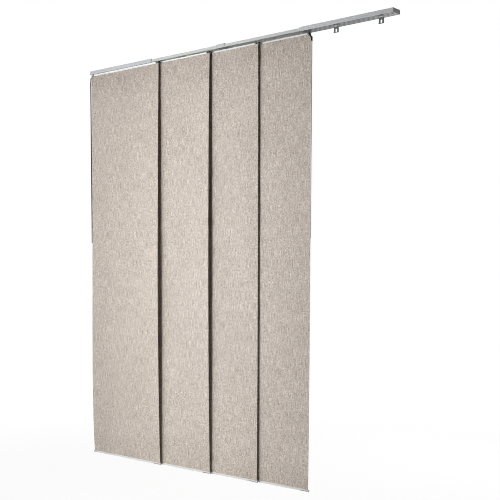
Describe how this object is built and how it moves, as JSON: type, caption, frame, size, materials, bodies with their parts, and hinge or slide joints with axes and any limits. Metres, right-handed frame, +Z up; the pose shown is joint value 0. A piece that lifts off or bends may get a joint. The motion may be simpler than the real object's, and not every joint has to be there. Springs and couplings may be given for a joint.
{
  "type": "panel track blind",
  "caption": "Ceiling-hung panel track blind: wide flat cloth panels on carriers slide in a telescoping multi-channel track, with weighted bottom bars and pull wands.",
  "frame": {"origin": "middle of the top face of the track's centre joiner, which lies against the ceiling", "axes": "+X along the track to the right seen from the room, +Y towards the window, +Z up"},
  "size_m": [2.184, 0.0784, 2.4699],
  "materials": {
    "profile": "satin, fine lengthwise drawing lines",
    "inner_rail": "satin off-white paint",
    "screw_steel": "zinc plated",
    "end_cap_plastic": "fine moulded grain",
    "nylon": "moulded white nylon",
    "clip_steel": "dark grey, satin",
    "carrier_white": "white satin paint",
    "cap_plastic": "grey moulded plastic",
    "hook_loop": "white hook and loop",
    "cloth": "heathered greige linen-look weave",
    "bar_white": "pale grey satin paint",
    "weight_steel": "dull bare steel",
    "cap_light": "light grey moulded plastic",
    "link_plastic": "dark grey moulded plastic",
    "wand": "grey rod, satin"
  },
  "bodies": {
    "track": {"centre_joiner": "profile", "joiner_screws": "screw_steel", "inner_rail_1": "inner_rail", "inner_rail_2": "inner_rail", "inner_rail_3": "inner_rail", "inner_rail_4": "inner_rail"},
    "sleeve_left": {"sleeve_left": "profile", "end_cap_left": "end_cap_plastic"},
    "sleeve_right": {"sleeve_right": "profile", "end_cap_right": "end_cap_plastic"},
    "panel_1": {"carrier_1": "carrier_white", "carrier_caps_1": "cap_plastic", "hook_tape_1": "hook_loop", "gliders_1": "nylon", "clips_1": "clip_steel", "fabric_1": "cloth", "bottom_bar_1": "bar_white", "weight_core_1": "weight_steel", "bar_caps_1": "cap_light"},
    "panel_2": {"carrier_2": "carrier_white", "carrier_caps_2": "cap_plastic", "hook_tape_2": "hook_loop", "gliders_2": "nylon", "clips_2": "clip_steel", "fabric_2": "cloth", "bottom_bar_2": "bar_white", "weight_core_2": "weight_steel", "bar_caps_2": "cap_light"},
    "panel_3": {"carrier_3": "carrier_white", "carrier_caps_3": "cap_plastic", "hook_tape_3": "hook_loop", "gliders_3": "nylon", "clips_3": "clip_steel", "fabric_3": "cloth", "bottom_bar_3": "bar_white", "weight_core_3": "weight_steel", "bar_caps_3": "cap_light"},
    "panel_4": {"carrier_4": "carrier_white", "carrier_caps_4": "cap_plastic", "hook_tape_4": "hook_loop", "gliders_4": "nylon", "clips_4": "clip_steel", "fabric_4": "cloth", "bottom_bar_4": "bar_white", "weight_core_4": "weight_steel", "bar_caps_4": "cap_light"},
    "wand_left": {"wand_link_left": "link_plastic", "wand_left": "wand"},
    "wand_right": {"wand_link_right": "link_plastic", "wand_right": "wand"},
    "spare_hanger_left": {"spare_glider_left": "nylon", "spare_clip_left": "clip_steel"},
    "spare_hanger_right": {"spare_glider_right": "nylon", "spare_clip_right": "clip_steel"}
  },
  "joints": [
    {"name": "left_sleeve_slide", "type": "slide", "parent": "track", "child": "sleeve_left", "axis": [-1, 0, 0], "range_m": [-0.51, 0]},
    {"name": "right_sleeve_slide", "type": "slide", "parent": "track", "child": "sleeve_right", "axis": [1, 0, 0], "range_m": [-0.51, 0]},
    {"name": "panel_1_slide", "type": "slide", "parent": "sleeve_left", "child": "panel_1", "axis": [1, 0, 0], "range_m": [-0.004, 1.569]},
    {"name": "panel_2_slide", "type": "slide", "parent": "sleeve_left", "child": "panel_2", "axis": [1, 0, 0], "range_m": [-0.393, 0.82]},
    {"name": "panel_3_slide", "type": "slide", "parent": "sleeve_left", "child": "panel_3", "axis": [1, 0, 0], "range_m": [-0.73, 0.842]},
    {"name": "panel_4_slide", "type": "slide", "parent": "sleeve_left", "child": "panel_4", "axis": [1, 0, 0], "range_m": [-1.068, 0.504]},
    {"name": "spare_left_slide", "type": "slide", "parent": "sleeve_right", "child": "spare_hanger_left", "axis": [1, 0, 0], "range_m": [-0.2, 0.2]},
    {"name": "spare_right_slide", "type": "slide", "parent": "sleeve_right", "child": "spare_hanger_right", "axis": [1, 0, 0], "range_m": [-0.2, 0.04]},
    {"name": "wand_left_swing", "type": "hinge", "parent": "panel_1", "child": "wand_left", "pos_m": [-1.069, -0.0243, -0.027], "axis": [0, 1, 0], "range_deg": [0, 45]},
    {"name": "wand_right_swing", "type": "hinge", "parent": "panel_4", "child": "wand_right", "pos_m": [0.5684, 0.0243, -0.027], "axis": [0, -1, 0], "range_deg": [0, 45]}
  ]
}
